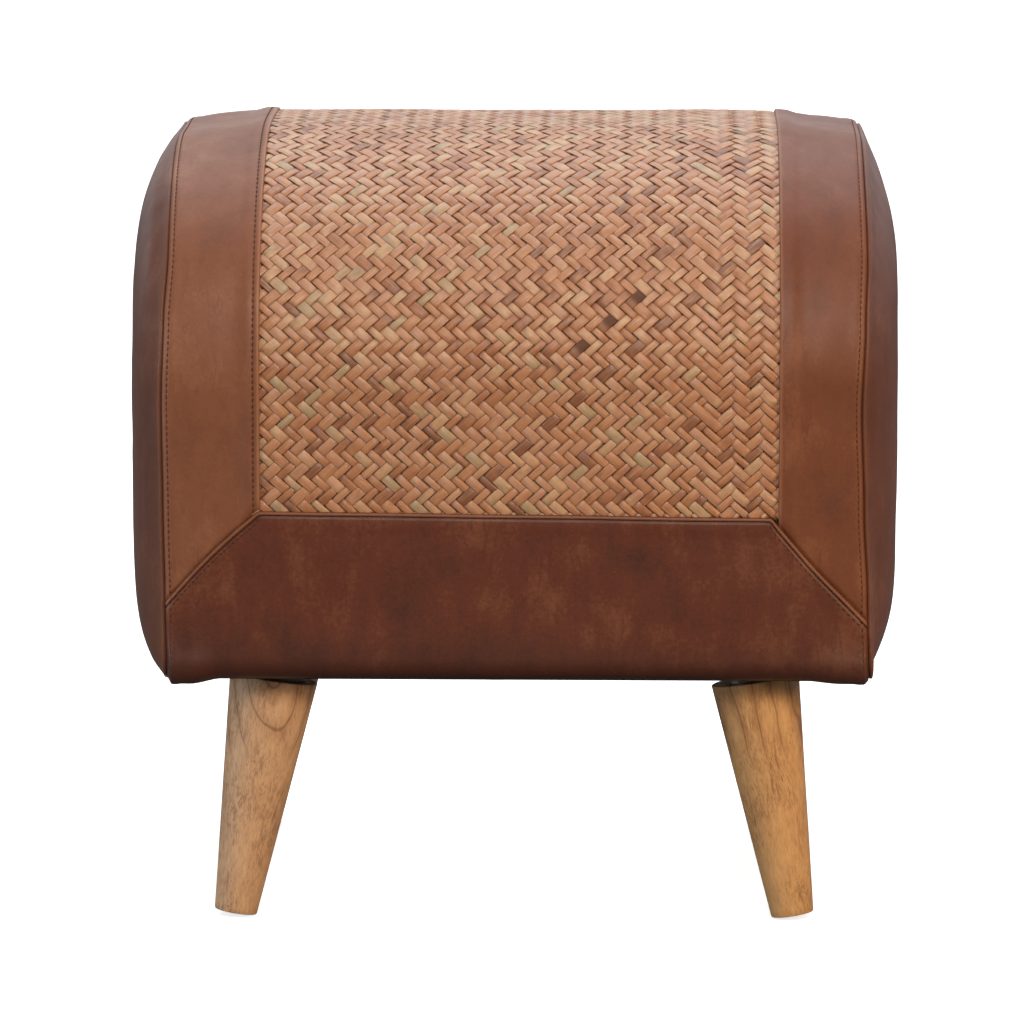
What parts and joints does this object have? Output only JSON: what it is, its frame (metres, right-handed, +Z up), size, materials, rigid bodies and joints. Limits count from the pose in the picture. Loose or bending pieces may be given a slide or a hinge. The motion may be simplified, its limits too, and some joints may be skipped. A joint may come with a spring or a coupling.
{
  "type": "footstool",
  "caption": "Arched upholstered footstool with a woven centre panel, leather bands and padded leather ends on four splayed turned wooden legs.",
  "frame": {"origin": "on the floor, under the middle of the body", "axes": "+Z up, -Y to the front, +X to the right seen from the front; the arch runs from front to back and its ends face -X and +X"},
  "size_m": [0.4652, 0.346, 0.4745],
  "materials": {
    "leather": "satin",
    "woven": "satin",
    "leg_wood": "satin",
    "plywood": "matte",
    "softwood": "matte",
    "foam": "matte",
    "lining": "matte",
    "dust_cloth": "matte",
    "steel": "satin"
  },
  "bodies": {
    "body": {"base_board": "plywood", "left_arch_former": "plywood", "right_arch_former": "plywood", "centre_rib": "plywood", "front_rail": "softwood", "back_rail": "softwood", "corner_block_front_left": "softwood", "corner_block_front_right": "softwood", "corner_block_back_left": "softwood", "corner_block_back_right": "softwood", "arch_deck": "plywood", "arch_foam": "foam", "left_end_foam": "foam", "right_end_foam": "foam", "lining": "lining", "woven_panel": "woven", "left_border_strip": "leather", "right_border_strip": "leather", "front_band": "leather", "back_band": "leather", "left_end_cover": "leather", "right_end_cover": "leather", "dust_cover": "dust_cloth", "leg_plate_front_left": "steel", "plate_screw_front_left_1": "steel", "plate_screw_front_left_2": "steel", "plate_screw_front_left_3": "steel", "plate_screw_front_left_4": "steel", "leg_plate_front_right": "steel", "plate_screw_front_right_1": "steel", "plate_screw_front_right_2": "steel", "plate_screw_front_right_3": "steel", "plate_screw_front_right_4": "steel", "leg_plate_back_left": "steel", "plate_screw_back_left_1": "steel", "plate_screw_back_left_2": "steel", "plate_screw_back_left_3": "steel", "plate_screw_back_left_4": "steel", "leg_plate_back_right": "steel", "plate_screw_back_right_1": "steel", "plate_screw_back_right_2": "steel", "plate_screw_back_right_3": "steel", "plate_screw_back_right_4": "steel"},
    "leg_front_left": {"leg_front_left": "leg_wood", "hanger_bolt_front_left": "steel"},
    "leg_front_right": {"leg_front_right": "leg_wood", "hanger_bolt_front_right": "steel"},
    "leg_back_left": {"leg_back_left": "leg_wood", "hanger_bolt_back_left": "steel"},
    "leg_back_right": {"leg_back_right": "leg_wood", "hanger_bolt_back_right": "steel"}
  },
  "joints": [
    {"name": "front_left_leg_turn", "type": "hinge", "parent": "body", "child": "leg_front_left", "pos_m": [-0.1467, -0.11, 0.14607], "axis": [-0.1607, -0.0943, -0.9825], "continuous": true},
    {"name": "front_right_leg_turn", "type": "hinge", "parent": "body", "child": "leg_front_right", "pos_m": [0.1467, -0.11, 0.14607], "axis": [0.1607, -0.0943, -0.9825], "continuous": true},
    {"name": "back_left_leg_turn", "type": "hinge", "parent": "body", "child": "leg_back_left", "pos_m": [-0.1467, 0.11, 0.14607], "axis": [-0.1607, 0.0943, -0.9825], "continuous": true},
    {"name": "back_right_leg_turn", "type": "hinge", "parent": "body", "child": "leg_back_right", "pos_m": [0.1467, 0.11, 0.14607], "axis": [0.1607, 0.0943, -0.9825], "continuous": true}
  ]
}
